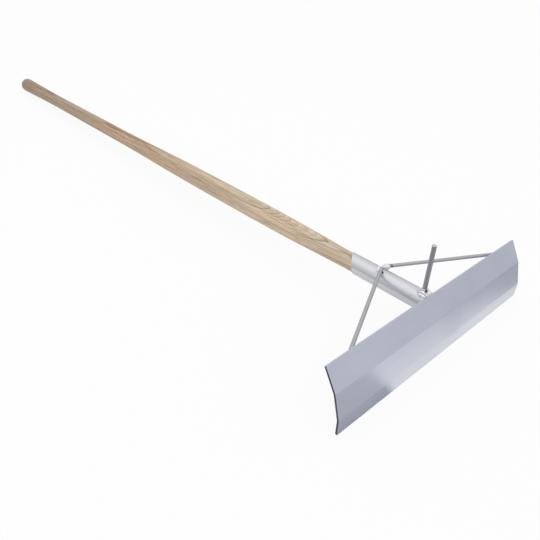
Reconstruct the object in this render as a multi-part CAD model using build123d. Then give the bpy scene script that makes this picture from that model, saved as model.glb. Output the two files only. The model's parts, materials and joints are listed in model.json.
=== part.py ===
from build123d import *

import os
from math import atan, cos, degrees, radians, sin, sqrt, tan

# A concrete placer: a folded aluminium blade, welded to a tube socket that holds a long turned
# wooden handle. Two rods brace the blade, and a third stands on the socket as a mesh hook.
# The tool is drawn with its handle level along +Y and the middle of the lip's edge at the origin.
# It is then tipped until the knob of the handle lies on the ground that the lip stands on.
# Lengths are in millimetres, angles in degrees. Left and right are as seen from the blade's front.

# Blade: one sheet in three bands, each folded back from the one below
blade_length = 495.3
sheet_thickness = 3.2
lip_width = 26.5
middle_width = 42.0
upper_width = 42.0
fold_angle = 15.0
fold_radius = 25.0
blade_corner_radius = 1.0

# Socket: a tube square to the lip, coped to the blade, with its mouth cut on the slant
socket_diameter = 33.7
socket_wall = 1.6
socket_height = 78.9
socket_length = 170.5
mouth_slant = 33.5
mouth_turn = 21.0

# Handle: diameters, with their distances from the mouth or from the handle's end.
# The shank lies midway between the waist and the grip.
handle_length = 1508.0
handle_setback = 2.0
handle_clearance = 0.1
tenon_chamfer = 2.0
shoulder_diameter = 37.2
shoulder_from_mouth = 140.0
belly_diameter = 39.8
belly_from_mouth = 330.0
fade_diameter = 38.3
fade_from_mouth = 530.0
waist_diameter = 33.6
waist_from_mouth = 690.0
shank_diameter = 32.3
grip_diameter = 31.3
grip_from_end = 248.0
neck_diameter = 32.6
neck_from_end = 158.0
knob_diameter = 37.6
knob_round_length = 17.0

# Screw that keeps the handle in the socket, from below
screw_from_mouth = 28.0
screw_head_diameter = 9.0
screw_head_height = 3.0
screw_shank_diameter = 4.2
screw_shank_length = 20.0
screw_hole_clearance = 0.2
screw_recess_length = 5.0
screw_recess_width = 1.1
screw_recess_depth = 1.5

# Hook rod: square to the socket, behind the blade
hook_diameter = 7.5
hook_height = 85.0
hook_behind_blade = 29.0
hook_end_chamfer = 0.6
hook_foot_bevel = 0.5

# Braces: rods from the crown of the socket to the back of the upper band
brace_diameter = 6.35
left_brace_from_middle = 2.7
right_brace_from_middle = 5.0
brace_behind_blade = 111.2
brace_crown_gap = 0.15
brace_foot_half_span = 208.0
brace_foot_below_edge = 11.0

# Weld beads
socket_bead_radius = 4.5
hook_pad_height = 4.5
hook_pad_half_width = 11.0
hook_pad_half_length = 12.0
hook_pad_toward_blade = 2.0
hook_pad_margin = 0.6
crown_bead_radius = 4.7
crown_bead_past_end = 2.6
left_crown_bead_half_length = 8.0
left_crown_bead_drop = 2.0
left_crown_bead_back = 3.0
right_crown_bead_half_length = 6.8
right_crown_bead_drop = 1.2
right_crown_bead_back = 0.0
foot_bead_half_length = 13.0
foot_bead_radius = 5.5

# What follows from the dimensions above
socket_radius = socket_diameter / 2
socket_bore_radius = socket_radius - socket_wall
tenon_radius = socket_bore_radius - handle_clearance
hook_radius = hook_diameter / 2
brace_radius = brace_diameter / 2
crown_height = socket_height + socket_radius

# The left brace has its crown bead behind it, and the right one has its end buried in its own
left, right = -1, 1
brace_from_middle = {left: left_brace_from_middle, right: right_brace_from_middle}
crown_bead_half_length = {left: left_crown_bead_half_length, right: right_crown_bead_half_length}
crown_bead_drop = {left: left_crown_bead_drop, right: right_crown_bead_drop}
crown_bead_back = {left: left_crown_bead_back, right: right_crown_bead_back}


def lean(band):
    """Unit vectors of a band in the YZ plane: up along it, and out of its back."""
    angle = radians(band * fold_angle)
    return Vector(sin(angle), cos(angle)), Vector(cos(angle), -sin(angle))


def fold_line(offset, overrun=0.0):
    """Corners of the folded sheet in the YZ plane, at an offset behind its mid-thickness."""
    here = Vector(0, 0)
    corners = []
    for band, width in enumerate((lip_width, middle_width, upper_width)):
        up, out = lean(band)
        if band == 0:
            corners.append(here + out * offset - up * overrun)
        else:
            below = lean(band - 1)[1]
            corners.append(here + (below + out) * (offset / (1 + below.dot(out))))
        here = here + up * width
    corners.append(here + out * offset + up * overrun)
    return corners


def back_of_blade(height):
    """Where a level line at this height meets the blade's back: its y, and the band it meets."""
    corners = fold_line(sheet_thickness / 2)
    band = sum(height > corner.Y for corner in corners[1:-1])
    start = corners[band]
    up = lean(band)[0]
    return start.X + (height - start.Y) * up.X / up.Y, band


blade_back, socket_band = back_of_blade(socket_height)
mouth_y = blade_back + socket_length
mouth_reach = socket_radius * tan(radians(mouth_slant))
hook_y = blade_back + hook_behind_blade
hook_shaft_start = crown_height + hook_pad_height + hook_pad_margin
socket_plane = Plane(origin=(0, 0, socket_height), x_dir=(1, 0, 0), z_dir=(0, 1, 0))
handle_start = back_of_blade(socket_height + socket_bore_radius)[0] + handle_setback
handle_plane = Plane(origin=(0, handle_start, socket_height), x_dir=(0, 1, 0), z_dir=(1, 0, 0))
screw_plane = Plane(
    origin=(0, mouth_y - screw_from_mouth, socket_height), x_dir=(1, 0, 0), z_dir=(0, 0, -1)
)


def rod(radius, start, end):
    """A straight round rod between two points."""
    run = Vector(end) - Vector(start)
    return Plane(origin=start, z_dir=run) * Cylinder(
        radius, run.length, align=(Align.CENTER, Align.CENTER, Align.MIN)
    )


def spheroid(centre, direction, inward, half_length, radius):
    """A swollen bead of weld, round about its length. Its seam lies inward, in what it is welded to."""
    with BuildSketch(Plane.XZ) as half:
        with BuildLine():
            EllipticalCenterArc((0, 0), radius, half_length, start_angle=-90, arc_size=180)
            Line((0, -half_length), (0, half_length))
        make_face()
    return Plane(origin=centre, x_dir=inward, z_dir=direction) * revolve(half.sketch, axis=Axis.Z)


def straight_bead(centre, direction, inward, half_length, radius):
    """A straight bead of weld with round ends. Its seam lies inward, in what it is welded to."""
    half_run = half_length - radius
    with BuildSketch(Plane.XZ) as half:
        with BuildLine():
            CenterArc((0, -half_run), radius, start_angle=-90, arc_size=90)
            Line((radius, -half_run), (radius, half_run))
            CenterArc((0, half_run), radius, start_angle=0, arc_size=90)
            Line((0, half_length), (0, -half_length))
        make_face()
    return Plane(origin=centre, x_dir=inward, z_dir=direction) * revolve(half.sketch, axis=Axis.Z)


def sheet_section(front_offset, back_offset, overrun=0.0):
    """The space between two offsets of the folded line, as a face in the YZ plane."""
    with BuildSketch(Plane.YZ) as section:
        with BuildLine():
            front = FilletPolyline(*fold_line(front_offset, overrun), radius=fold_radius - front_offset)
            back = FilletPolyline(*fold_line(back_offset, overrun), radius=fold_radius - back_offset)
            Line(front @ 0, back @ 0)
            Line(front @ 1, back @ 1)
        make_face()
    return section.sketch


def make_blade():
    section = sheet_section(-sheet_thickness / 2, sheet_thickness / 2)
    sheet = extrude(section, amount=blade_length / 2, both=True)
    ends = sheet.faces().sort_by(Axis.X)
    corners = [
        ends[side].edges().sort_by(Axis.Z)[edge]
        for side in (0, -1)
        for edge in (0, -1)
    ]
    return fillet(corners, blade_corner_radius)


def make_front_space():
    """All that lies in front of the blade's back, to cope and mitre what is welded there."""
    section = sheet_section(-blade_length, sheet_thickness / 2, overrun=blade_length)
    return extrude(section, amount=blade_length, both=True)


def socket_core(radius):
    """A round bar on the socket's axis, from in front of the blade's back to past the mouth."""
    bar = Cylinder(
        radius, mouth_y + 2 * mouth_reach, align=(Align.CENTER, Align.CENTER, Align.MIN)
    )
    return socket_plane * bar


def make_socket(front_space):
    tube = socket_core(socket_radius) - socket_core(socket_bore_radius) - front_space
    slope = tan(radians(mouth_slant))
    turn = radians(mouth_turn)
    mouth_plane = Plane(
        origin=(0, mouth_y, socket_height), z_dir=(-slope * cos(turn), 1, -slope * sin(turn))
    )
    tube = split(tube, bisect_by=mouth_plane, keep=Keep.BOTTOM)
    hole = Cylinder(
        screw_shank_diameter / 2 + screw_hole_clearance,
        2 * socket_radius,
        align=(Align.CENTER, Align.CENTER, Align.MIN),
    )
    return tube - screw_plane * hole


def make_handle():
    mouth = mouth_y - handle_start
    knob_radius = knob_diameter / 2
    round_start = handle_length - knob_round_length
    waist = mouth + waist_from_mouth
    grip = handle_length - grip_from_end
    stations = [
        Vector(mouth + mouth_reach, tenon_radius),
        Vector(mouth + shoulder_from_mouth, shoulder_diameter / 2),
        Vector(mouth + belly_from_mouth, belly_diameter / 2),
        Vector(mouth + fade_from_mouth, fade_diameter / 2),
        Vector(waist, waist_diameter / 2),
        Vector((waist + grip) / 2, shank_diameter / 2),
        Vector(grip, grip_diameter / 2),
        Vector(handle_length - neck_from_end, neck_diameter / 2),
        Vector(round_start, knob_radius),
    ]
    swell = stations[1] - stations[0]
    flare = stations[-1] - stations[-2]
    with BuildSketch(handle_plane) as outline:
        with BuildLine():
            Polyline(
                (handle_length, 0),
                (0, 0),
                (0, tenon_radius - tenon_chamfer),
                (tenon_chamfer, tenon_radius),
                stations[0],
            )
            Spline(*stations, tangents=[swell, flare])
            EllipticalCenterArc((round_start, 0), knob_round_length, knob_radius, arc_size=90)
        make_face()
    turned = revolve(outline.sketch, axis=Axis(handle_plane.origin, (0, 1, 0)))
    return turned - make_screw_shank()


def make_screw_shank():
    below_axis = socket_radius - screw_shank_length
    shank = Cylinder(
        screw_shank_diameter / 2,
        screw_shank_length,
        align=(Align.CENTER, Align.CENTER, Align.MIN),
    )
    return screw_plane * Pos(0, 0, below_axis) * shank


def make_handle_screw():
    head_radius = screw_head_diameter / 2
    seat = sqrt(socket_radius**2 - head_radius**2)
    top = socket_radius + screw_head_height
    rim = (seat + top) / 2
    with BuildSketch(Plane.XZ) as outline:
        with BuildLine():
            Polyline((0, top), (0, seat), (head_radius, seat), (head_radius, rim))
            EllipticalCenterArc((0, rim), head_radius, top - rim, arc_size=90)
        make_face()
    head = revolve(outline.sketch, axis=Axis.Z)
    for turn in (0, 90):
        bar = Box(screw_recess_length, screw_recess_width, 2 * screw_recess_depth)
        head -= Pos(0, 0, top) * Rot(Z=turn) * bar
    head = screw_plane * head - socket_core(socket_radius)
    return head + make_screw_shank()


def make_hook_rod():
    """The rod's foot is bevelled as far up as the bead reaches."""
    foot = (0, hook_y, socket_height)
    bevel = (0, hook_y, crown_height)
    shaft = (0, hook_y, hook_shaft_start)
    top = (0, hook_y, crown_height + hook_height)
    bar = rod(hook_radius, shaft, top)
    bar = chamfer(bar.edges().sort_by(Axis.Z)[-1], hook_end_chamfer)
    cone = Cone(
        hook_radius - hook_foot_bevel,
        hook_radius,
        hook_shaft_start - crown_height,
        align=(Align.CENTER, Align.CENTER, Align.MIN),
    )
    bar = bar + Pos(*bevel) * cone + rod(hook_radius - hook_foot_bevel, foot, bevel)
    return bar - socket_core(socket_radius)


def brace_ends(side):
    """The inner end of a brace's axis on the socket's crown, and its foot on the blade's back."""
    inner = Vector(
        side * brace_from_middle[side],
        blade_back + brace_behind_blade,
        crown_height + brace_radius + brace_crown_gap,
    )
    up, out = lean(2)
    corner = fold_line(sheet_thickness / 2)[-1] - up * brace_foot_below_edge
    return inner, Vector(side * brace_foot_half_span, corner.X, corner.Y)


def make_brace(side, front_space):
    """A rod that runs past its foot, mitred by the blade's back."""
    inner, foot = brace_ends(side)
    return rod(brace_radius, inner, foot + foot - inner) - front_space


def make_socket_weld(front_space):
    """A bead around the socket's end, on the band of the blade that the socket's axis meets."""
    out = lean(socket_band)[1]
    seat = Plane(
        origin=(0, blade_back, socket_height), x_dir=(1, 0, 0), z_dir=(0, out.X, out.Y)
    )
    seam = (seat * Ellipse(socket_radius, socket_radius / out.X)).wire()
    bead = sweep(Plane(origin=seam @ 0, z_dir=seam % 0) * Circle(socket_bead_radius), path=seam)
    return bead - socket_core(socket_radius) - front_space


def make_hook_weld(hook_rod, socket_weld):
    """A pad of weld that hugs the socket's crown around the hook's foot, longer towards the blade."""
    edge_drop = socket_radius - sqrt(socket_radius**2 - hook_pad_half_width**2)
    rise = hook_pad_height + edge_drop
    radius = (hook_pad_half_width**2 + rise**2) / (2 * rise)
    depth = radius - hook_pad_height
    half_length = hook_pad_half_length / sqrt(1 - (depth / radius) ** 2)
    centre = (0, hook_y - hook_pad_toward_blade, crown_height - depth)
    pad = spheroid(centre, (0, 1, 0), (0, 0, -1), half_length, radius)
    return pad - socket_core(socket_radius) - hook_rod - socket_weld


def make_crown_weld(side, brace):
    inner, foot = brace_ends(side)
    along = (foot - inner).normalized()
    half_length = crown_bead_half_length[side]
    centre = inner + along * (half_length - crown_bead_past_end)
    centre = centre + Vector(0, crown_bead_back[side], -crown_bead_drop[side])
    bead = straight_bead(centre, along, (0, 0, -1), half_length, crown_bead_radius)
    return bead - brace - socket_core(socket_radius)


def make_foot_weld(side, brace, front_space):
    inner, foot = brace_ends(side)
    bead = spheroid(foot, (1, 0, 0), (0, -1, 0), foot_bead_half_length, foot_bead_radius)
    return bead - brace - front_space


front_space = make_front_space()
pieces = {
    "blade": make_blade(),
    "socket": make_socket(front_space),
    "handle": make_handle(),
    "handle_screw": make_handle_screw(),
    "hook_rod": make_hook_rod(),
    "socket_weld": make_socket_weld(front_space),
}
pieces["hook_weld"] = make_hook_weld(pieces["hook_rod"], pieces["socket_weld"])
for name, side in (("left", left), ("right", right)):
    brace = make_brace(side, front_space)
    pieces[f"brace_{name}"] = brace
    pieces[f"brace_{name}_crown_weld"] = make_crown_weld(side, brace)
    pieces[f"brace_{name}_foot_weld"] = make_foot_weld(side, brace, front_space)

# The tool lies on the back arris of its lip and on the knob of its handle
knob_y = handle_start + handle_length - knob_round_length
lip_back = sheet_thickness / 2
rest_tilt = atan((socket_height - knob_diameter / 2) / (knob_y - lip_back))
rest = Pos(0, 0, lip_back * sin(rest_tilt)) * Rot(X=-degrees(rest_tilt))

os.makedirs("parts", exist_ok=True)
for name, piece in pieces.items():
    export_step(rest * piece, f"parts/{name}.step")

hook_end = rest * Pos(0, hook_y, crown_height + hook_height)
hook_wall = crown_height + hook_height - hook_end_chamfer - hook_shaft_start
print(f"rest tilt {degrees(rest_tilt):.4f} degrees, hook's free end at {hook_end.position}")
print(f"hook's free wall {hook_wall:.3f} mm long")
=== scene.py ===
# %% [markdown]
# # A concrete placer in the studio
# The tool is a folded aluminium blade on a long ash handle. Two rods brace the blade to the tube that
# holds the handle, and a third rod stands on the tube to lift reinforcing mesh. The solid pieces come
# ready made and in place. This lesson gives them their finishes, tightens the folds of the blade, lays
# ripples into the welds, and lights and frames the tool as a catalogue picture does.

# %% Load the pieces
import json
from math import atan2, cos, degrees, pi, radians, sin

import bmesh
import bpy
from mathutils import Matrix, Vector
from mathutils.geometry import intersect_plane_plane, intersect_point_line


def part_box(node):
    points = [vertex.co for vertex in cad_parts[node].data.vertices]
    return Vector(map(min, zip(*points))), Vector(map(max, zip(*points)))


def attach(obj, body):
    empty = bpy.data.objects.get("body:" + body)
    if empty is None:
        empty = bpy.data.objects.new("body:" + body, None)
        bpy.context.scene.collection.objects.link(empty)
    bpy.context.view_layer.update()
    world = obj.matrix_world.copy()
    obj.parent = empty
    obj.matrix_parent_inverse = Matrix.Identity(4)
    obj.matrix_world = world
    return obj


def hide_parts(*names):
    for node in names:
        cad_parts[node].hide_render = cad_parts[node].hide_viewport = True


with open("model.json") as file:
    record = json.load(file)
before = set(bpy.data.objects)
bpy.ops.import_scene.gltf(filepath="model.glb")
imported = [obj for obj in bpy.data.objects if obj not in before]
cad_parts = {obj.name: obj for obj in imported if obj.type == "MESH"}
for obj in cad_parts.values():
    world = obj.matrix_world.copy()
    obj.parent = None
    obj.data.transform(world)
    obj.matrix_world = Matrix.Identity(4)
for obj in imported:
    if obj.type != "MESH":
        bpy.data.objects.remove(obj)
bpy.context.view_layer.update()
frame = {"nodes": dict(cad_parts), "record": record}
scene = bpy.context.scene
nodes = frame["nodes"]
mounts = {mount["name"]: mount for mount in frame["record"]["mounts"]}
print("pieces:", sorted(nodes))

# %% [markdown]
# ## The camera
# The picture looks down on the blade from the front left, close enough that the handle shrinks
# towards its knob. A camera could be aimed with a constraint, but then its roll is hard to set. Here
# three angles give it: the heading over the ground, the dip below the horizon and the roll.

# %% Camera
lens_mm = 37.5
sensor_mm = 36.0
nearest_seen = 0.01
camera_place = Vector((-0.6727, -0.2740, 0.6167))
heading = radians(45.187)
dip = radians(35.424)
roll = radians(4.225)

forward = Vector((sin(heading) * cos(dip), cos(heading) * cos(dip), -sin(dip)))
level_right = Vector((cos(heading), -sin(heading), 0.0))
level_up = level_right.cross(forward)
picture_right = level_right * cos(roll) + level_up * sin(roll)
picture_up = level_up * cos(roll) - level_right * sin(roll)

camera_data = bpy.data.cameras.new("camera")
camera_data.lens = lens_mm
camera_data.sensor_width = sensor_mm
camera_data.clip_start = nearest_seen
camera = bpy.data.objects.new("camera", camera_data)
turn = Matrix((picture_right, picture_up, -forward)).transposed().to_4x4()
camera.matrix_world = Matrix.Translation(camera_place) @ turn
scene.collection.objects.link(camera)
scene.camera = camera
scene.view_settings.view_transform = "Standard"
print("camera: it looks along", tuple(round(value, 3) for value in forward))

# %% [markdown]
# ## Helpers for nodes
# Materials and Geometry Nodes are both trees of nodes. One small function makes a node, sets what is
# constant and links what is not, so that each recipe below reads like a list of ingredients. The
# others are the few ingredients that come up again and again.


# %% Nodes and sums
def add(tree, kind, inputs=None, **settings):
    """A new node. Inputs are sockets to link or plain values, by name or by number."""
    node = tree.nodes.new(kind)
    for name, value in settings.items():
        setattr(node, name, value)
    for key, value in (inputs or {}).items():
        if isinstance(value, bpy.types.NodeSocket):
            tree.links.new(value, node.inputs[key])
        else:
            node.inputs[key].default_value = value
    return node


def calculate(tree, operation, *values):
    """The result of one Math node."""
    return add(tree, "ShaderNodeMath", dict(enumerate(values)), operation=operation).outputs[0]


def calculate_vector(tree, operation, *values):
    """The result of one Vector Math node: a number for a length or a dot product, else a vector."""
    node = add(tree, "ShaderNodeVectorMath", dict(enumerate(values)), operation=operation)
    return node.outputs["Value" if operation in ("LENGTH", "DISTANCE", "DOT_PRODUCT") else "Vector"]


def axes_of(tree, vector):
    """The X, Y and Z of a vector."""
    return add(tree, "ShaderNodeSeparateXYZ", {0: vector}).outputs


def measured_from(tree, vector, place=(0.0, 0.0, 0.0), turn=(0.0, 0.0, 0.0), size=(1.0, 1.0, 1.0)):
    """Coordinates in axes of their own, which start at a place and are turned and sized there."""
    inputs = {"Vector": vector, "Location": place, "Rotation": turn, "Scale": size}
    return add(tree, "ShaderNodeMapping", inputs, vector_type="TEXTURE").outputs[0]


# %% Mixes and steps
def opaque(colour):
    """A colour as a node takes it, with its alpha. A socket stays as it is."""
    return (*colour, 1.0) if isinstance(colour, tuple) else colour


def mix_numbers(tree, share, first, second):
    """A number between two others."""
    return add(tree, "ShaderNodeMix", {0: share, 2: first, 3: second}, data_type="FLOAT").outputs[0]


def mix_colours(tree, share, first, second, mode="MIX"):
    """A colour between two others."""
    inputs = {0: share, 6: opaque(first), 7: opaque(second)}
    return add(tree, "ShaderNodeMix", inputs, data_type="RGBA", blend_type=mode).outputs[2]


def even_step(tree, value, low, high):
    """0 at low, 1 at high, with an even change between them."""
    inputs = {"Value": value, "From Min": low, "From Max": high}
    return add(tree, "ShaderNodeMapRange", inputs).outputs[0]


def smooth_step(tree, value, low, high):
    """0 at low, 1 at high, with an eased change between them. It falls where low is the larger."""
    inputs = {"Value": value, "From Min": low, "From Max": high}
    return add(tree, "ShaderNodeMapRange", inputs, interpolation_type="SMOOTHSTEP").outputs[0]


# %% [markdown]
# ## Floor, sky and lamp
# A catalogue picture is taken on a sheet of white paper, and what lies beyond the sheet is cleared to
# white. A floor that only glows would lose the tool's shadow, and one that is only lit would turn
# grey. So the floor mixes both, and it knows by the kind of ray what looks at it. To the camera it is
# white with a shadow. In the metal the sheet glows white as well, less so in a band behind the blade,
# where a shadow is painted. Beyond its edges there is a grey bench with painted shade, darker near
# the sheet and darkest to the left of the tool, which gives the blade its darker ends and the tube its
# dark stripe. The sky is a studio: light walls and a bright ceiling, with the walls dimmer on the far
# right. In the metal, paper and bench are painted dimmer on the far right too. One wide, weak soft box
# hangs above, to the left of the handle.

# %% Floor
floor_half = 30.0

floor_mesh = bpy.data.meshes.new("floor")
corners = [(x * floor_half, y * floor_half, 0.0) for x, y in ((-1, -1), (1, -1), (1, 1), (-1, 1))]
floor_mesh.from_pydata(corners, [], [(0, 1, 2, 3)])
floor = bpy.data.objects.new("floor", floor_mesh)
scene.collection.objects.link(floor)
print("floor:", 2 * floor_half, "metres square")

# %% Paper and bench
paper_corner = (-0.0214, -0.1906)
paper_turn = radians(28.1)
paper_edge_blur = 0.012
bench_near_painted_shade = (0.555, 0.57, 0.605)
bench_far = (0.60, 0.61, 0.655)
bench_shade_reach = 0.14
bench_right_painted_shade = (0.475, 0.485, 0.52)
right_start = 0.10
right_full = 0.50
bench_left_painted_shade = (0.40, 0.41, 0.44)
left_start = -0.15
left_full = -0.40
left_fades = 0.30
left_end = 0.65

paper = bpy.data.materials.new("paper")
paper.use_nodes = True
floor_mesh.materials.append(paper)
tree = paper.node_tree
tree.nodes.clear()
ground = add(tree, "ShaderNodeTexCoord").outputs["Object"]
ground_axes = axes_of(tree, ground)
sheet = axes_of(tree, measured_from(tree, ground, (*paper_corner, 0.0), (0.0, 0.0, paper_turn)))
inside = calculate(tree, "MINIMUM", sheet["X"], sheet["Y"])
on_paper = smooth_step(tree, inside, -paper_edge_blur, paper_edge_blur)
near_paper = smooth_step(tree, inside, -bench_shade_reach, 0.0)
to_right = smooth_step(tree, ground_axes["X"], right_start, right_full)
to_left = smooth_step(tree, ground_axes["X"], left_start, left_full)
to_front = smooth_step(tree, ground_axes["Y"], left_end, left_fades)
# Painted shade on the bench: darker near the sheet, dimmer to the right, darkest left of the tool
bench = mix_colours(tree, near_paper, bench_far, bench_near_painted_shade)
bench = mix_colours(tree, to_right, bench, bench_right_painted_shade)
bench = mix_colours(tree, calculate(tree, "MULTIPLY", to_left, to_front), bench, bench_left_painted_shade)
print("paper: corner at", paper_corner, "turned by", round(degrees(paper_turn), 1), "degrees")

# %% White to the camera, and glowing in the metal
paper_white = (0.9, 0.9, 0.9)
paper_painted_dimming = 0.15
paper_glow = 0.9
shadow_glow = 0.2
shadow_start = 0.02
shadow_full = 0.06
shadow_fades = 0.20
shadow_end = 0.30

light_path = add(tree, "ShaderNodeLightPath").outputs
by_camera = light_path["Is Camera Ray"]
by_metal = calculate(tree, "MAXIMUM", light_path["Is Glossy Ray"], light_path["Is Transmission Ray"])
mirrored = calculate(tree, "MULTIPLY", by_metal, on_paper)
white = calculate(tree, "MAXIMUM", by_camera, on_paper)
ground_colour = mix_colours(tree, white, bench, paper_white)
lit = add(tree, "ShaderNodeBsdfDiffuse", {"Color": ground_colour}).outputs[0]
# Painted dimming: to the right the sheet glows less as the metal sees it
dimmed = calculate(tree, "MULTIPLY", to_right, mirrored)
strength = calculate(tree, "MULTIPLY_ADD", dimmed, -paper_painted_dimming, 1.0)
glowing = add(tree, "ShaderNodeEmission", {"Strength": strength}).outputs[0]
# Painted shadow: in a band behind the blade the metal sees less glow and more of the lit paper
shadow_comes = smooth_step(tree, ground_axes["Y"], shadow_start, shadow_full)
shadow_goes = smooth_step(tree, ground_axes["Y"], shadow_end, shadow_fades)
shaded = calculate(tree, "MULTIPLY", shadow_comes, shadow_goes)
shaded = calculate(tree, "MULTIPLY", shaded, mirrored)
glow = mix_numbers(tree, shaded, paper_glow, shadow_glow)
glow = calculate(tree, "MULTIPLY", calculate(tree, "MAXIMUM", by_camera, mirrored), glow)
mixed = add(tree, "ShaderNodeMixShader", {0: glow, 1: lit, 2: glowing}).outputs[0]
add(tree, "ShaderNodeOutputMaterial", {"Surface": mixed})
print("paper and bench:", len(tree.nodes), "nodes")

# %% Sky
wall_colour = (0.630, 0.655, 0.715)
dim_wall_colour = (0.575, 0.597, 0.652)
dim_wall_start = 0.70
dim_wall_full = 0.90
ceiling_colour = (0.92, 0.92, 0.93)
ceiling_full = 0.55

world = bpy.data.worlds.new("studio")
scene.world = world
world.use_nodes = True
tree = world.node_tree
tree.nodes.clear()
toward = axes_of(tree, add(tree, "ShaderNodeTexCoord").outputs["Generated"])
dimmed = smooth_step(tree, toward["X"], dim_wall_start, dim_wall_full)
wall = mix_colours(tree, dimmed, wall_colour, dim_wall_colour)
level = mix_colours(tree, even_step(tree, toward["Z"], 0.0, ceiling_full), wall, ceiling_colour)
sky = add(tree, "ShaderNodeBackground", {"Color": level, "Strength": 1.0}).outputs[0]
add(tree, "ShaderNodeOutputWorld", {"Surface": sky})
print("sky:", len(tree.nodes), "nodes")

# %% Lamp
lamp_size = 2.2
lamp_watts = 4.0
lamp_place = (-0.4, 0.5, 1.8)

lamp_data = bpy.data.lights.new("soft_box", "AREA")
lamp_data.size = lamp_size
lamp_data.energy = lamp_watts
lamp = bpy.data.objects.new("soft_box", lamp_data)
lamp.location = lamp_place
scene.collection.objects.link(lamp)
print("lamp:", lamp_watts, "watts at", lamp_place)

# %% [markdown]
# ## Helpers for finishes
# A finish is a shader whose colour, gloss and relief change from place to place. A picture wrapped
# around a piece could give that, but it would need unwrapping and would show its seams. Wood and
# drawn metal have their pattern all the way through, so these recipes work it out from where a point
# lies in the object, in metres.

# %% Patterns
noise_mean = 0.5


def tinted(tree, colour, tint):
    """A colour multiplied by another one or by a level."""
    return mix_colours(tree, 1.0, colour, tint, mode="MULTIPLY")


def ramp(tree, value, *stops):
    """A colour ramp. Each stop is a place from 0 to 1 and a grey level or a colour."""
    node = add(tree, "ShaderNodeValToRGB", {0: value})
    elements = node.color_ramp.elements
    for number, (place, colour) in enumerate(stops):
        element = elements[number] if number < len(elements) else elements.new(place)
        element.position = place
        element.color = opaque(colour if isinstance(colour, tuple) else (colour, colour, colour))
    return node.outputs[0]


def stretched(tree, vector, scale):
    """The coordinates with each axis multiplied, for streaks and grain."""
    return add(tree, "ShaderNodeMapping", {"Vector": vector, "Scale": scale}).outputs[0]


def noise(tree, vector, scale, detail=2.0, roughness=0.5):
    """Fractal noise from 0 to 1. A scale of three numbers stretches it."""
    if isinstance(scale, tuple):
        vector = stretched(tree, vector, scale)
        scale = 1.0
    inputs = {"Vector": vector, "Scale": scale, "Detail": detail, "Roughness": roughness}
    return add(tree, "ShaderNodeTexNoise", inputs).outputs[0]


# %% Materials
def start_material(name):
    """A new material: its tree, its shader, and its coordinates in metres."""
    material = bpy.data.materials.new(name)
    material.use_nodes = True
    tree = material.node_tree
    tree.nodes.clear()
    shader = add(tree, "ShaderNodeBsdfPrincipled")
    add(tree, "ShaderNodeOutputMaterial", {"Surface": shader.outputs[0]})
    coordinates = add(tree, "ShaderNodeTexCoord").outputs["Object"]
    return material, tree, shader, coordinates


def feed(tree, shader, **sockets):
    """Links results to the shader's inputs, whose names are written with underscores."""
    for name, socket in sockets.items():
        tree.links.new(socket, shader.inputs[name.replace("_", " ").title()])


def relief(tree, shader, height, depth):
    """Fine relief: a height from 0 to 1 is as deep as this, in metres."""
    bump = add(tree, "ShaderNodeBump", {"Height": height, "Distance": depth})
    feed(tree, shader, normal=bump.outputs[0])


def lay_along(tree, coordinates, mount, axis_name):
    """Coordinates that start at a mount, with one of their axes, Y or Z, along the mount's axis."""
    axis = Vector(mount["axis"])
    lean = atan2(axis.z, axis.y) - (pi / 2 if axis_name == "Z" else 0.0)
    return measured_from(tree, coordinates, mount["pos_m"], (lean, 0.0, 0.0))


# %% [markdown]
# ## Ash
# The handle is turned from a straight-grown ash pole. Wrapping a picture of grain around it would
# show a seam and wrong end grain. Instead the wood is solid: rings around a pith that lies below the
# handle, cut wherever the surface happens to be. The pith bends away under the swelling behind the
# socket, so there the top shows pointed flames, the sides show straight lines, and the knob arcs.

# %% Pith
pith_place = (0.006, 0.0, -0.040)
pith_bend = 0.017
bend_start = -1.06
bend_end = -0.82
slow_drift = {"scale": (6.0, 1.8, 6.0), "reach": 0.010}
quick_drift = {"scale": (24.0, 10.0, 24.0), "reach": 0.0045}

ash, tree, shader, coordinates = start_material("turned_ash")
grain = lay_along(tree, coordinates, mounts["handle_grip"], "Y")
along_handle = axes_of(tree, grain)["Y"]


def drift(scale, reach):
    """How far the pith strays from its line, in metres."""
    inputs = {"Vector": stretched(tree, grain, scale), "Scale": 1.0, "Detail": 1.0}
    stray = add(tree, "ShaderNodeTexNoise", inputs).outputs["Color"]
    stray = calculate_vector(tree, "SUBTRACT", stray, (noise_mean, noise_mean, noise_mean))
    return calculate_vector(tree, "MULTIPLY", stray, (reach, 0.0, reach))


# The pith bends once, drifts slowly and strays quickly, so lines along the handle wave and run out
bend = calculate(tree, "MULTIPLY", smooth_step(tree, along_handle, bend_start, bend_end), pith_bend)
bend = add(tree, "ShaderNodeCombineXYZ", {"Z": bend}).outputs[0]
from_pith = calculate_vector(tree, "ADD", calculate_vector(tree, "SUBTRACT", grain, pith_place), bend)
for sizes in (slow_drift, quick_drift):
    from_pith = calculate_vector(tree, "ADD", from_pith, drift(**sizes))
from_pith = calculate_vector(tree, "MULTIPLY", from_pith, (1.0, 0.0, 1.0))
from_pith = calculate_vector(tree, "LENGTH", from_pith)
print("pith:", round(-1000 * pith_place[2]), "mm below the middle of the handle")

# %% Growth rings
ring_spacing = 0.0023
year_scale = 0.45
year_swing = 0.9
waver_scale = (110.0, 6.0, 110.0)
waver_swing = 0.45
least_dark = 0.2
early_share = ((0.0, 1.0), (0.15, 0.85), (0.4, 0.12), (0.96, 0.0), (1.0, 1.0))

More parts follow.
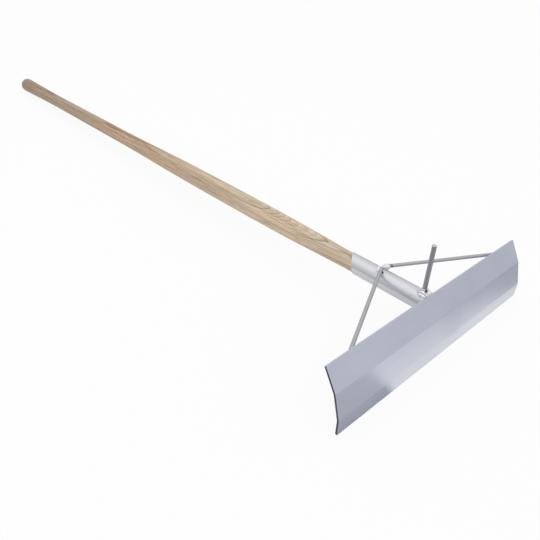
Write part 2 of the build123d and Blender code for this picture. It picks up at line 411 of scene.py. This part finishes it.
# Good and poor years: rings differ in width and in darkness
rings = calculate(tree, "DIVIDE", from_pith, ring_spacing)
year_inputs = {"W": rings, "Scale": year_scale}
widths = add(tree, "ShaderNodeTexNoise", year_inputs, noise_dimensions="1D").outputs[0]
rings = calculate(tree, "MULTIPLY_ADD", widths, year_swing, rings)
rings = calculate(tree, "MULTIPLY_ADD", noise(tree, grain, waver_scale), waver_swing, rings)
number = calculate(tree, "FLOOR", rings)
dark = add(tree, "ShaderNodeTexWhiteNoise", {"W": number}, noise_dimensions="1D").outputs["Value"]
dark = calculate(tree, "MULTIPLY_ADD", dark, 1.0 - least_dark, least_dark)
growth = ramp(tree, calculate(tree, "FRACT", rings), *early_share)
growth = calculate(tree, "MULTIPLY", growth, dark)
print("rings:", round(1000 * ring_spacing, 1), "mm apart")

# %% Pores and colour
latewood = (0.725, 0.590, 0.430)
earlywood = (0.410, 0.265, 0.155)
pore_colour = (0.17, 0.11, 0.065)
pore_scale = (1500.0, 45.0, 1500.0)
pore_levels = (0.56, 0.72)
pore_dark = 0.12
early_pore_dark = 0.30
fleck_scale = (450.0, 26.0, 450.0)
fleck_levels = (0.57, 0.72)
fleck_dark = 0.36
streak_scale = (300.0, 5.0, 300.0)
streak_shades = ((0.28, 0.70), (0.72, 1.20))
blush_scale = (45.0, 11.0, 45.0)
blush_shades = ((0.3, (0.95, 1.01, 1.06)), (0.7, (1.06, 0.99, 0.92)))

# Open pores are short dark dashes, most of them in the early wood, and a few flecks are longer
pores = smooth_step(tree, noise(tree, grain, pore_scale, detail=1.0), *pore_levels)
flecks = smooth_step(tree, noise(tree, grain, fleck_scale, detail=1.0), *fleck_levels)
streaks = noise(tree, grain, streak_scale, detail=3.0, roughness=0.6)
wood = mix_colours(tree, growth, latewood, earlywood)
wood = tinted(tree, wood, ramp(tree, streaks, *streak_shades))
wood = tinted(tree, wood, ramp(tree, noise(tree, grain, blush_scale), *blush_shades))
dark = calculate(tree, "MULTIPLY_ADD", growth, early_pore_dark, pore_dark)
dark = calculate(tree, "MULTIPLY", pores, dark)
dark = calculate(tree, "MULTIPLY_ADD", flecks, fleck_dark, dark)
wood = mix_colours(tree, dark, wood, pore_colour)
print("wood:", len(tree.nodes), "nodes")

# %% Darkening along the handle, and varnish
socket_end_tone = (1.0, 1.0, 1.0)
middle_tone = (0.78, 0.695, 0.64)
knob_end_tone = (0.55, 0.53, 0.53)
darkening_start = -0.92
darkening_middle = -0.35
darkening_full = 0.20
varnish_roughness = 0.44
early_roughness = 0.12
varnish_gloss = 0.2
streak_height = 0.3
grain_depth = 0.00006

# The wood is darker along the handle: little at the socket, first browner and then greyer towards the
# knob
darkening = even_step(tree, along_handle, darkening_start, darkening_full)
middle = (darkening_middle - darkening_start) / (darkening_full - darkening_start)
darkening = ramp(tree, darkening, (0.0, socket_end_tone), (middle, middle_tone), (1.0, knob_end_tone))
roughness = calculate(tree, "MULTIPLY_ADD", growth, early_roughness, varnish_roughness)
feed(tree, shader, base_color=tinted(tree, wood, darkening), roughness=roughness)
shader.inputs["Specular IOR Level"].default_value = varnish_gloss
sunk_pores = calculate(tree, "SUBTRACT", 0.0, pores)
surface = calculate(tree, "MULTIPLY_ADD", streaks, streak_height, sunk_pores)
relief(tree, shader, surface, grain_depth)
print("ash:", len(tree.nodes), "nodes")

# %% [markdown]
# ## Aluminium
# All the metal but one screw is bare aluminium, and each stock is finished differently: the sheet
# keeps its rolled satin, the tube is brighter, the rods are drawn and duller, and the welds are fresh
# metal. Every finish has the marks of how it was made, as fine streaks in colour, gloss and relief.
# Separate recipes would repeat themselves, so one function makes the streaked metal, and each piece
# adds what is its own.

# %% Streaked metal
cloud_scale = 14.0
cloud_share = 0.4
darkest_tone = 0.3
brightest_tone = 0.7
roughness_swing = 0.16


def streaked_metal(name, colour, roughness, streak_scale, variation, relief_depth, lay=None):
    """Bare metal with streaks along its working direction. Returns what a recipe may go on with."""
    material, tree, shader, coordinates = start_material(name)
    laid = lay(tree, coordinates) if lay else coordinates
    streaks = noise(tree, laid, streak_scale, detail=4.0, roughness=0.65)
    clouds = noise(tree, coordinates, cloud_scale, detail=3.0, roughness=0.55)
    tone = mix_numbers(tree, cloud_share, streaks, clouds)
    level = ramp(tree, tone, (darkest_tone, 1.0 - variation), (brightest_tone, 1.0 + variation / 2))
    shade = tinted(tree, colour, level)
    gloss = calculate(tree, "MULTIPLY_ADD", tone, roughness_swing, roughness - roughness_swing / 2)
    feed(tree, shader, base_color=shade, roughness=gloss)
    shader.inputs["Metallic"].default_value = 1.0
    relief(tree, shader, streaks, relief_depth)
    print(name, "has", len(tree.nodes), "nodes to start with")
    return material, tree, shader, coordinates, shade, gloss


def smear(tree, shader, axis, strength, turn=0.0):
    """Smears reflections around one of the object's axes, or along it with a quarter turn."""
    around = add(tree, "ShaderNodeTangent", direction_type="RADIAL", axis=axis)
    feed(tree, shader, tangent=around.outputs[0])
    shader.inputs["Anisotropic"].default_value = strength
    shader.inputs["Anisotropic Rotation"].default_value = turn


# %% [markdown]
# ## The blade
# The sheet is rolled along its length. The rolls leave grooves too fine to see, which smear a
# reflection up and down but not along the blade, so the shader is anisotropic and its tangent turns
# around the blade's length. The heat of the socket's weld has clouded the middle of the sheet, and
# the guillotine left its edges rough. The two short ends are painted dark as well, a painted shade on
# the cut faces. A picture of all this would need unfolding. Here the object's own coordinates say
# where each mark lies, and only the long edges face nearly straight up or down.

# %% Rolled sheet
roll_smear = 0.75

blade_low, blade_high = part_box("blade")
half_length = blade_high.x
blade_sheet, tree, shader, coordinates, shade, gloss = streaked_metal(
    "rolled_sheet",
    colour=(0.69, 0.71, 0.78),
    roughness=0.34,
    streak_scale=(3.0, 900.0, 900.0),
    variation=0.08,
    relief_depth=0.000012,
)
smear(tree, shader, "X", roll_smear)
print("blade:", round(2 * half_length, 4), "metres long")

# %% Heat and edges
heat_place = (0.030, 0.006, 0.045)
heat_core = 0.02
heat_reach = 0.05
heat_dimming = 0.08
smudge_scale = 60.0
smudge_reach = 0.04
cut_end_painted_shade = (0.17, 0.17, 0.18)
cut_roughness = 0.6
cut_margin = 0.0002
rim_slope = 0.7

from_heat = calculate_vector(tree, "DISTANCE", coordinates, heat_place)
smudge = noise(tree, coordinates, smudge_scale, detail=3.0)
from_heat = calculate(tree, "MULTIPLY_ADD", smudge, smudge_reach, from_heat)
clouding = smooth_step(tree, from_heat, heat_core + heat_reach, heat_core)
worn = tinted(tree, shade, calculate(tree, "MULTIPLY_ADD", clouding, -heat_dimming, 1.0))
from_middle = calculate(tree, "ABSOLUTE", axes_of(tree, coordinates)["X"])
short_edge = calculate(tree, "GREATER_THAN", from_middle, half_length - cut_margin)
facing = add(tree, "ShaderNodeTexCoord").outputs["Normal"]
slope = calculate(tree, "ABSOLUTE", axes_of(tree, facing)["Z"])
long_edge = calculate(tree, "GREATER_THAN", slope, rim_slope)
cut = calculate(tree, "MAXIMUM", short_edge, long_edge)
# The short ends are painted dark, a painted shade on the cut faces; all cut edges are rough
feed(tree, shader, base_color=mix_colours(tree, short_edge, worn, cut_end_painted_shade))
feed(tree, shader, roughness=mix_numbers(tree, cut, gloss, cut_roughness))
print("blade finish:", len(tree.nodes), "nodes")

# %% [markdown]
# ## The folds
# The sheet was bent in a press brake, and its reflections change over so small a width that its two
# folds must be tight. The folds of the solid piece are rounder. They could be cut sharp and bevelled
# anew, but a fold of any radius is a copy of a wider one, shrunk towards the line where the two flat
# bands would meet. So a copy of the sheet has the points of its folds drawn towards those lines.

# %% Copies of solid pieces
merge_distance = 1e-6


def joined_copy(node):
    """A copy of a node's mesh with its loose triangles joined, open for changes."""
    mesh = nodes[node].data.copy()
    mesh.attributes.remove(mesh.attributes["custom_normal"])
    joined = bmesh.new()
    joined.from_mesh(mesh)
    bmesh.ops.remove_doubles(joined, verts=joined.verts, dist=merge_distance)
    return mesh, joined


def show_instead(piece, node):
    """Turns a piece's modifiers into plain mesh and lets it stand for a node."""
    seen_by = bpy.context.evaluated_depsgraph_get()
    piece.data = bpy.data.meshes.new_from_object(piece.evaluated_get(seen_by), depsgraph=seen_by)
    piece.modifiers.clear()
    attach(piece, "root")
    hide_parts(node)
    print(piece.name, len(piece.data.polygons), "faces")


# %% Find the folds
least_crease = radians(0.5)
most_crease = radians(20)

# Each fold is a row of shallow creases along the sheet, once on its front and once on its back
sheet_mesh, joined = joined_copy("blade")
middle_height = (blade_low.z + blade_high.z) / 2
folds = {}
for edge in joined.edges:
    if edge.calc_length() > half_length and least_crease < edge.calc_face_angle() < most_crease:
        in_front = sum(face.normal.y for face in edge.link_faces) < 0
        is_upper = edge.verts[0].co.z > middle_height
        folds.setdefault((in_front, is_upper), []).append(edge)
print("folds:", [len(creases) for creases in folds.values()], "creases each")

# %% Tighten the folds
fold_shrink = 0.35


def flat_beside(crease):
    """The larger face at a crease: at a fold's first and last crease it is a flat band."""
    return max(crease.link_faces, key=lambda face: face.calc_area())


for creases in folds.values():
    creases.sort(key=lambda crease: crease.verts[0].co.z)
    lower = flat_beside(creases[0])
    upper = flat_beside(creases[-1])
    planes = (lower.verts[0].co, lower.normal, upper.verts[0].co, upper.normal)
    start, direction = intersect_plane_plane(*planes)
    for point in {point for crease in creases for point in crease.verts}:
        corner = intersect_point_line(point.co, start, start + direction)[0]
        point.co = corner.lerp(point.co, fold_shrink)
joined.to_mesh(sheet_mesh)
joined.free()
sheet_mesh.shade_smooth()
sheet_mesh.set_sharp_from_angle(angle=most_crease)
sheet_mesh.materials.clear()
sheet_mesh.materials.append(blade_sheet)
folded_blade = bpy.data.objects.new("folded_blade", sheet_mesh)
scene.collection.objects.link(folded_blade)
flat_bands = folded_blade.modifiers.new("flat_bands", "WEIGHTED_NORMAL")
flat_bands.keep_sharp = True
show_instead(folded_blade, "blade")

# %% [markdown]
# ## Tube, rods and screw
# The tube is drawn, so its streaks follow its axis, but it was polished while it turned, and those
# finer grooves smear a reflection along it. Beside the left rod the tube has a dark patch: soot from
# welding and painted shade of the gap under the rod. The right rod has a dark ring where it leaves its
# weld, partly burned by welding and partly painted shade. The hook rod is darker than the braces,
# partly a duller finish and partly painted shade, and its top is a bright saw cut. The screw is
# plated with zinc. Streaks in the object's own axes would cross a rod that lies askew. So the
# coordinates are first laid along each rod: the two braces are mirror images, and one turn serves both.

# %% Tube finish
polish_smear = 0.85
quarter_turn = 0.25


def along_tube(tree, coordinates):
    """Coordinates with Y along the tube."""
    return lay_along(tree, coordinates, mounts["handle_grip"], "Y")


socket_tube, tree, shader, coordinates, shade, gloss = streaked_metal(
    "satin_tube",
    colour=(0.71, 0.71, 0.74),
    roughness=0.37,
    streak_scale=(900.0, 4.0, 900.0),
    variation=0.06,
    relief_depth=0.00001,
    lay=along_tube,
)
smear(tree, shader, "Y", polish_smear, quarter_turn)

# %% Soot and painted shade on the tube
soot_and_shade = (0.055, 0.05, 0.05)
soot_and_shade_roughness = 0.7
soot_and_shade_place = (-0.0052, 0.1294, 0.0897)
soot_and_shade_size = (0.0062, 0.0026, 0.004)
soot_and_shade_turn = radians(47.8)
soot_and_shade_core = 0.3
ragged_scale = 380.0

# One dark patch: soot from welding and painted shade of the gap under the left rod
from_soot_and_shade = measured_from(tree, coordinates, soot_and_shade_place, (0.0, 0.0, soot_and_shade_turn), soot_and_shade_size)
from_soot_and_shade = calculate_vector(tree, "LENGTH", from_soot_and_shade)
ragged = calculate(tree, "SUBTRACT", noise(tree, coordinates, ragged_scale), noise_mean)
soot_and_shade_share = smooth_step(tree, calculate(tree, "ADD", from_soot_and_shade, ragged), 1.0, soot_and_shade_core)
feed(tree, shader, base_color=mix_colours(tree, soot_and_shade_share, shade, soot_and_shade))
feed(tree, shader, roughness=mix_numbers(tree, soot_and_shade_share, gloss, soot_and_shade_roughness))
print("soot at", soot_and_shade_place)

# %% Brace finish
ring_middle = 0.0153
ring_reach = 0.0019
ring_core = 0.3
ring_soot_and_shade = 0.7

brace_low, brace_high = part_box("brace_right")
brace_slope = atan2(brace_high.y - brace_low.y, brace_high.x - brace_low.x)


def along_brace(tree, coordinates):
    """Coordinates with X along the nearer brace."""
    one_side = calculate_vector(tree, "ABSOLUTE", coordinates)
    return measured_from(tree, one_side, turn=(0.0, 0.0, -brace_slope))


drawn_rod, tree, shader, coordinates, shade, _ = streaked_metal(
    "drawn_rod",
    colour=(0.495, 0.495, 0.51),
    roughness=0.40,
    streak_scale=(6.0, 700.0, 700.0),
    variation=0.08,
    relief_depth=0.000008,
    lay=along_brace,
)
# A dark ring where the right rod leaves its weld, partly burned and partly painted shade
from_ring = calculate(tree, "SUBTRACT", axes_of(tree, coordinates)["X"], ring_middle)
from_ring = calculate(tree, "ABSOLUTE", from_ring)
burnt_and_shaded = smooth_step(tree, from_ring, ring_reach, ring_core * ring_reach)
burnt_and_shaded = calculate(tree, "MULTIPLY", burnt_and_shaded, ring_soot_and_shade)
feed(tree, shader, base_color=mix_colours(tree, burnt_and_shaded, shade, soot_and_shade))
print("braces:", round(degrees(brace_slope), 1), "degrees from the blade")

# %% Hook and screw finishes
sawn_colour = (0.66, 0.66, 0.68)
sawn_margin = 0.0001

hook_mount = mounts["hook_rod"]
hook_length = hook_mount["dims"]["length_mm"] / 1000


def along_hook(tree, coordinates):
    """Coordinates with Z up the hook rod, from the middle of its free wall."""
    return lay_along(tree, coordinates, hook_mount, "Z")


# The hook rod is coloured darker than the braces: partly a duller finish, partly painted shade
hook_bar, tree, shader, coordinates, shade, _ = streaked_metal(
    "dull_rod",
    colour=(0.397, 0.391, 0.418),
    roughness=0.42,
    streak_scale=(900.0, 900.0, 6.0),
    variation=0.08,
    relief_depth=0.000008,
    lay=along_hook,
)
up_hook = axes_of(tree, along_hook(tree, coordinates))["Z"]
sawn = calculate(tree, "GREATER_THAN", up_hook, hook_length / 2 + sawn_margin)
feed(tree, shader, base_color=mix_colours(tree, sawn, shade, sawn_colour))
zinc, *_ = streaked_metal(
    "bright_zinc",
    colour=(0.70, 0.71, 0.72),
    roughness=0.28,
    streak_scale=(600.0, 600.0, 600.0),
    variation=0.08,
    relief_depth=0.00001,
)
print("hook rod:", hook_length, "metres of free wall")

# %% [markdown]
# ## The welds
# A bead of weld is a row of small frozen puddles, each lapped over the last, so its top is rippled.
# Around the hook there are several passes side by side. The ripples could be relief in a material,
# but then the outline would stay smooth. Here the plain bead is made an even mesh, and a tree of
# Geometry Nodes moves its points: crescents along the bead, valleys between passes, and a few lumps.

# %% Weld finish
groove_soot_and_shade_colour = (0.05, 0.046, 0.046)
groove_roughness = 0.6

weld_metal, tree, shader, coordinates, shade, gloss = streaked_metal(
    "weld_metal",
    colour=(0.82, 0.82, 0.84),
    roughness=0.26,
    streak_scale=(400.0, 400.0, 400.0),
    variation=0.08,
    relief_depth=0.00003,
)
groove = add(tree, "ShaderNodeAttribute", attribute_name="groove").outputs["Fac"]
# Dark grooves and pit: soot, and painted shade in the hollows
feed(tree, shader, base_color=mix_colours(tree, groove, shade, groove_soot_and_shade_colour))
feed(tree, shader, roughness=mix_numbers(tree, groove, gloss, groove_roughness))
print("weld metal:", len(tree.nodes), "nodes")

# %% Weld sizes
usual_sizes = {
    "Centre": (0.0, 0.0, 0.0),
    "Run": (1.0, 0.0, 0.0),
    "Side": (0.0, 1.0, 0.0),
    "Ring Radius": 0.0,
    "Ripple Pitch": 0.0024,
    "Ripple Depth": 0.0003,
    "Ripple Bow": 60.0,
    "Pass Pitch": 0.0056,
    "Pass Depth": 0.0,
    "Lump Size": 0.004,
    "Lump Depth": 0.0006,
    "Swell": 0.0003,
    "Post Foot": (0.0, 0.0, 0.0),
    "Post Axis": (0.0, 0.0, 1.0),
    "Post Radius": hook_mount["dims"]["r_mm"] / 1000,
    "Collar Reach": 0.004,
    "Collar Height": 0.0,
    "Tube Place": tuple(mounts["handle_grip"]["pos_m"]),
    "Tube Axis": tuple(mounts["handle_grip"]["axis"]),
    "Tube Radius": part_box("socket")[1].x,
    "Skirt Height": 0.0025,
    "Skirt Width": 0.0,
    "Pit Place": (0.0, 0.0, 0.0),
    "Pit Radius": 0.002,
    "Pit Depth": 0.0,
    "Seed": 0.0,
}

weld_tree = bpy.data.node_groups.new("weld_ripples", "GeometryNodeTree")
sockets = weld_tree.interface
sockets.new_socket("Geometry", in_out="INPUT", socket_type="NodeSocketGeometry")
sockets.new_socket("Geometry", in_out="OUTPUT", socket_type="NodeSocketGeometry")
coat = sockets.new_socket("Material", in_out="INPUT", socket_type="NodeSocketMaterial")
coat.default_value = weld_metal
size_sockets = {}
for name, value in usual_sizes.items():
    kind = "NodeSocketVector" if isinstance(value, tuple) else "NodeSocketFloat"
    socket = sockets.new_socket(name, in_out="INPUT", socket_type=kind)
    socket.default_value = value
    size_sockets[name] = socket.identifier
print("weld tree:", len(size_sockets), "sizes")

# %% Along the weld and beside it
tree = weld_tree
given = add(tree, "NodeGroupInput").outputs
place = add(tree, "GeometryNodeInputPosition").outputs[0]
normal = add(tree, "GeometryNodeInputNormal").outputs[0]

# A straight weld runs along one axis, and a ring goes round it
here = calculate_vector(tree, "SUBTRACT", place, given["Centre"])
straight_run = calculate_vector(tree, "DOT_PRODUCT", here, given["Run"])
straight_side = calculate_vector(tree, "DOT_PRODUCT", here, given["Side"])
third = calculate_vector(tree, "CROSS_PRODUCT", given["Run"], given["Side"])
third_side = calculate_vector(tree, "DOT_PRODUCT", here, third)
angle = calculate(tree, "ARCTAN2", third_side, straight_side)
ring_run = calculate(tree, "MULTIPLY", angle, given["Ring Radius"])
out = calculate(tree, "MULTIPLY", straight_side, straight_side)
out = calculate(tree, "SQRT", calculate(tree, "MULTIPLY_ADD", third_side, third_side, out))
ring_side = calculate(tree, "SUBTRACT", out, given["Ring Radius"])
is_ring = calculate(tree, "GREATER_THAN", given["Ring Radius"], 0.0)
run = mix_numbers(tree, is_ring, straight_run, ring_run)
beside = mix_numbers(tree, is_ring, straight_side, ring_side)
print("weld tree:", len(tree.nodes), "nodes find a point's place")

# %% Ripples, passes and lumps
scallop_mean = 0.65
half_pass = 0.5


def scallops(distance, pitch):
    """Rounded ridges with sharp valleys, 0 in a valley and 1 on a ridge."""
    turns = calculate(tree, "MULTIPLY", calculate(tree, "DIVIDE", distance, pitch), pi)
    return calculate(tree, "ABSOLUTE", calculate(tree, "SINE", turns))


bow = calculate(tree, "MULTIPLY", calculate(tree, "MULTIPLY", beside, beside), given["Ripple Bow"])
ripples = scallops(calculate(tree, "ADD", run, bow), given["Ripple Pitch"])
shifted = calculate(tree, "MULTIPLY_ADD", given["Pass Pitch"], half_pass, beside)
passes = scallops(shifted, given["Pass Pitch"])
lump_scale = calculate(tree, "DIVIDE", 1.0, given["Lump Size"])
lump_inputs = {"Vector": here, "W": given["Seed"], "Scale": lump_scale, "Detail": 1.0}
lumps = add(tree, "ShaderNodeTexNoise", lump_inputs, noise_dimensions="4D").outputs[0]
waves = (
    (ripples, scallop_mean, "Ripple Depth"),
    (passes, scallop_mean, "Pass Depth"),
    (lumps, noise_mean, "Lump Depth"),
)
offset = given["Swell"]
for wave, mean, depth in waves:
    swing = calculate(tree, "SUBTRACT", wave, mean)
    offset = calculate(tree, "MULTIPLY_ADD", swing, given[depth], offset)
print("weld tree:", len(waves), "waves")

# %% [markdown]
# ## Pit, collar and skirt
# The welder leaves a small pit where the arc goes out. Against the hook rod the metal climbs as a
# collar, and on the tube it wets the wall and runs out thin, as a skirt. They could be modelled by
# hand on each bead. Here the same tree makes them, because each depends on one distance: from the
# pit's middle, from the rod's wall, or above the tube. A bead without one of them has its size at 0.

# %% Pit
pit_bottom = 0.4


def scaled(vector, factor):
    """A vector made longer or shorter."""
    return add(tree, "ShaderNodeVectorMath", {0: vector, "Scale": factor}, operation="SCALE").outputs[0]


# Deep in the middle, level at its rim
from_pit = calculate_vector(tree, "DISTANCE", place, given["Pit Place"])
from_pit = calculate(tree, "DIVIDE", from_pit, given["Pit Radius"])
has_pit = calculate(tree, "GREATER_THAN", given["Pit Depth"], 0.0)
pit = calculate(tree, "MULTIPLY", smooth_step(tree, from_pit, 1.0, pit_bottom), has_pit)
offset = calculate(tree, "SUBTRACT", offset, calculate(tree, "MULTIPLY", pit, given["Pit Depth"]))
push = scaled(normal, offset)
print("pit: full depth up to", pit_bottom, "of its radius")

# %% Collar
collar_start = 0.003

# Highest against the post, and none below its foot
to_post = calculate_vector(tree, "SUBTRACT", place, given["Post Foot"])
up_post = calculate_vector(tree, "DOT_PRODUCT", to_post, given["Post Axis"])
from_post = calculate_vector(tree, "CROSS_PRODUCT", to_post, given["Post Axis"])
from_post = calculate_vector(tree, "LENGTH", from_post)
from_post = calculate(tree, "SUBTRACT", from_post, given["Post Radius"])
from_post = calculate(tree, "DIVIDE", from_post, given["Collar Reach"])
climb = smooth_step(tree, from_post, 1.0, 0.0)
climb = calculate(tree, "MULTIPLY", climb, smooth_step(tree, up_post, 0.0, collar_start))
climb = calculate(tree, "MULTIPLY", climb, given["Collar Height"])
push = calculate_vector(tree, "ADD", push, scaled(given["Post Axis"], climb))
print("collar: full from", collar_start, "metres above the post's foot")

# %% Skirt
to_tube = calculate_vector(tree, "SUBTRACT", place, given["Tube Place"])
along_axis = calculate_vector(tree, "DOT_PRODUCT", to_tube, given["Tube Axis"])
radial = calculate_vector(tree, "SUBTRACT", to_tube, scaled(given["Tube Axis"], along_axis))
above_tube = calculate_vector(tree, "LENGTH", radial)
above_tube = calculate(tree, "SUBTRACT", above_tube, given["Tube Radius"])
above_tube = calculate(tree, "DIVIDE", above_tube, given["Skirt Height"])
spread = smooth_step(tree, above_tube, 1.0, 0.0)
spread = calculate(tree, "MULTIPLY", spread, given["Skirt Width"])

# The last of the weld's height spreads level with the tube's wall
level_part = calculate_vector(tree, "PROJECT", normal, radial)
level_part = calculate_vector(tree, "SUBTRACT", normal, level_part)
push = calculate_vector(tree, "ADD", push, scaled(level_part, spread))
print("weld tree:", len(tree.nodes), "nodes give the shape")

# %% Soot and painted shade in the grooves, and the finished mesh
valley_rim = 0.45
valley_bottom = 0.05
valley_soot_and_shade = 0.4

# The valleys between passes and the pit are darkened: soot, and painted shade in the hollows
has_passes = calculate(tree, "GREATER_THAN", given["Pass Depth"], 0.0)
valley = smooth_step(tree, passes, valley_rim, valley_bottom)
valley = calculate(tree, "MULTIPLY", calculate(tree, "MULTIPLY", valley, has_passes), valley_soot_and_shade)
groove = calculate(tree, "MAXIMUM", valley, pit)
noting = {"Geometry": given["Geometry"], "Name": "groove", "Value": groove}
noted = add(tree, "GeometryNodeStoreNamedAttribute", noting, data_type="FLOAT", domain="POINT").outputs[0]
moved = add(tree, "GeometryNodeSetPosition", {"Geometry": noted, "Offset": push}).outputs[0]
smooth = add(tree, "GeometryNodeSetShadeSmooth", {"Geometry": moved}).outputs[0]
real = add(tree, "GeometryNodeRealizeInstances", {"Geometry": smooth}).outputs[0]
coating = {"Geometry": real, "Material": given["Material"]}
coated = add(tree, "GeometryNodeSetMaterial", coating).outputs[0]
add(tree, "NodeGroupOutput", {"Geometry": coated})
print("weld tree:", len(tree.nodes), "nodes")

# %% [markdown]
# ## Laying the welds
# The tree now stands in for the welder's hand: each plain bead is joined, made an even mesh by a voxel
# remesh, and rippled with its own sizes. The beads could be sculpted one by one, but then a new size
# would mean new sculpting, and a slip of the brush would lift a bead off its seat. The hook's weld has
# several passes, and the socket's goes round the tube. Each brace has a weld along its rod at the crown
# and one along the blade at its foot.

# %% Rippled beads
voxel_size = 0.0004
across = Vector((1.0, 0.0, 0.0))
socket_axis = Vector(mounts["handle_grip"]["axis"])


def rippled_weld(node, **sizes):
    """Replaces a plain bead by an even mesh of it with ripples."""
    mesh, joined = joined_copy(node)
    joined.to_mesh(mesh)
    joined.free()
    piece = bpy.data.objects.new("rippled_" + node, mesh)
    scene.collection.objects.link(piece)
    even = piece.modifiers.new("even", "REMESH")
    even.mode = "VOXEL"
    even.voxel_size = voxel_size
    ripples = piece.modifiers.new("ripples", "NODES")
    ripples.node_group = weld_tree
    low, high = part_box(node)
    for name, value in {"Centre": (low + high) / 2, **sizes}.items():
        ripples[size_sockets[name]] = value
    show_instead(piece, node)


# %% Hook weld
hook_covered = 0.0035

hook_axis = Vector(hook_mount["axis"])
hook_foot = Vector(hook_mount["pos_m"]) - hook_axis * (hook_length / 2 + hook_covered)
hook_sizes = {
    "Pass Pitch": 0.0033,
    "Pass Depth": 0.0011,
    "Ripple Depth": 0.0002,
    "Post Foot": hook_foot,
    "Post Axis": hook_axis,
    "Collar Height": 0.0034,
    "Skirt Width": 0.0008,
    "Pit Place": (-0.0028, 0.0476, 0.0980),
    "Pit Radius": 0.0028,
    "Pit Depth": 0.0010,
    "Seed": 1.0,
}
rippled_weld("hook_weld", Run=socket_axis, Side=across, **hook_sizes)

# %% Socket weld
ring_ripples = 50

ring_radius = (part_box("socket_weld")[1].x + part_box("socket")[1].x) / 2
ring_pitch = 2 * pi * ring_radius / ring_ripples
ring_sizes = {"Ring Radius": ring_radius, "Ripple Pitch": ring_pitch, "Seed": 2.0}
rippled_weld("socket_weld", Run=socket_axis, Side=across, **ring_sizes)

# %% Brace welds
crown_sizes = {"Ripple Depth": 0.0005, "Skirt Width": 0.0008}
crown_seed = 3.0
foot_seed = 5.0

upright = Vector((0.0, 0.0, 1.0))
for number, (name, way) in enumerate((("left", 1), ("right", -1))):
    low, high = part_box(f"brace_{name}")
    rod = Vector((high.x - low.x, (high.y - low.y) * way, 0.0)).normalized()
    seeded = {**crown_sizes, "Seed": crown_seed + number}
    rippled_weld(f"brace_{name}_crown_weld", Run=rod, Side=rod.cross(upright), **seeded)
    rippled_weld(f"brace_{name}_foot_weld", Run=across, Side=socket_axis, Seed=foot_seed + number)

# %% [markdown]
# ## The last steps
# The pieces that keep their own shape still wear the plain colours that they came with. They could be
# copied and finished as new pieces, but their shape is right, so each one only gets its finish.

# %% Give each piece its finish
finishes = {
    "socket": socket_tube,
    "handle": ash,
    "handle_screw": zinc,
    "hook_rod": hook_bar,
    "brace_left": drawn_rod,
    "brace_right": drawn_rod,
}
for name, material in finishes.items():
    nodes[name].data.materials.clear()
    nodes[name].data.materials.append(material)
print("finishes:", {name: material.name for name, material in finishes.items()})
